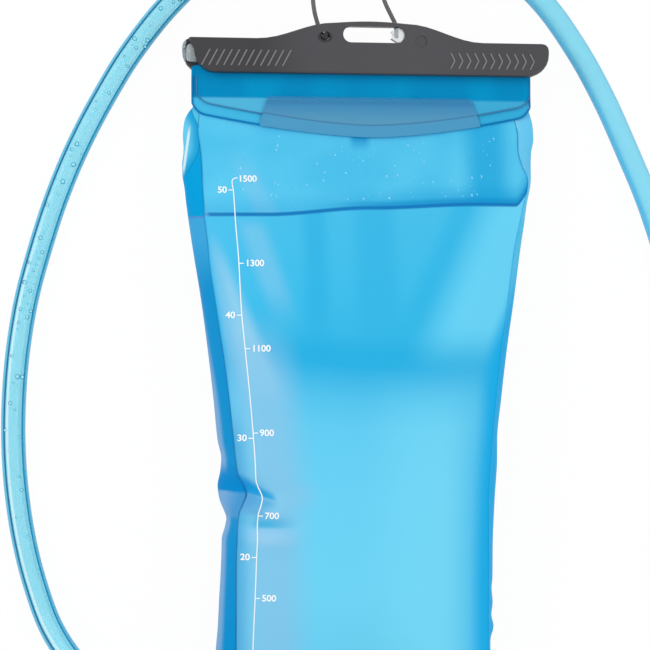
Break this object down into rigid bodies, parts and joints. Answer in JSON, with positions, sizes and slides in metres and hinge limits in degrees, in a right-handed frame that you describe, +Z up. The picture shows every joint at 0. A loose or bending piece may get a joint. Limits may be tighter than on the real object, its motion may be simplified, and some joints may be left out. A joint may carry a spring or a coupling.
{
  "type": "hydration bladder",
  "caption": "Soft film water bladder with a folded mouth closed by a sliding bar, a quick-connect port with shut-off, and a drink tube ending in a twist collar and bite valve.",
  "frame": {"origin": "middle of the bag and its slide bar, on the surface that the bag lies on", "axes": "+Z up, out of the bag's front face; +Y along the bag towards its closure; +X to the right seen from the front"},
  "size_m": [0.33, 0.4287, 0.0797],
  "materials": {
    "blue_film": "gloss",
    "frosted_film": "matte",
    "water": "gloss",
    "clear_plastic": "gloss",
    "grey_plastic": "satin",
    "grey_cord": "matte",
    "blue_tube": "gloss",
    "blue_silicone": "satin",
    "black_rubber": "matte",
    "spring_steel": "satin"
  },
  "bodies": {
    "bag": {"front_panel": "blue_film", "back_panel": "blue_film", "left_gusset": "blue_film", "right_gusset": "blue_film", "mouth_fold_inner": "blue_film", "mouth_fold_outer": "blue_film", "grip_tab": "frosted_film", "water_fill": "water", "closure_rail": "clear_plastic", "port_flange": "clear_plastic", "port_socket": "grey_plastic", "port_retainer": "grey_plastic", "poppet_spring": "spring_steel", "button_spring": "spring_steel", "drink_tube": "blue_tube", "valve_stem": "grey_plastic", "stem_seal": "black_rubber", "bite_sheath": "blue_silicone"},
    "slide_bar": {"slide_bar": "grey_plastic", "hang_cord": "grey_cord", "cord_knot": "grey_cord", "cord_anchor": "clear_plastic"},
    "poppet": {"poppet": "grey_plastic", "poppet_seal": "black_rubber"},
    "button": {"release_button": "blue_silicone"},
    "plug": {"plug_elbow": "grey_plastic", "plug_seal": "black_rubber", "drink_tube_lead": "blue_tube"},
    "collar": {"shutoff_collar": "grey_plastic"}
  },
  "joints": [
    {"name": "bar_slide", "type": "slide", "parent": "bag", "child": "slide_bar", "axis": [1, 0, 0], "range_m": [-0.15, 0]},
    {"name": "plug_release", "type": "slide", "parent": "bag", "child": "plug", "axis": [0, 0, 1], "range_m": [0, 0.02]},
    {"name": "poppet_travel", "type": "slide", "parent": "bag", "child": "poppet", "axis": [0, 0, 1], "range_m": [0, 0.0046], "deforming": ["poppet_spring"]},
    {"name": "button_press", "type": "slide", "parent": "bag", "child": "button", "axis": [0, 1, 0], "range_m": [0, 0.002], "stiffness_N_per_m": 800, "deforming": ["button_spring"]},
    {"name": "shutoff_twist", "type": "hinge", "parent": "bag", "child": "collar", "pos_m": [0.1572, -0.0663, 0.0099], "axis": [0, -1, 0], "range_deg": [0, 90]}
  ],
  "couplings": [
    {"joint": "poppet_travel", "follows": "plug_release", "ratio": 0.23}
  ]
}
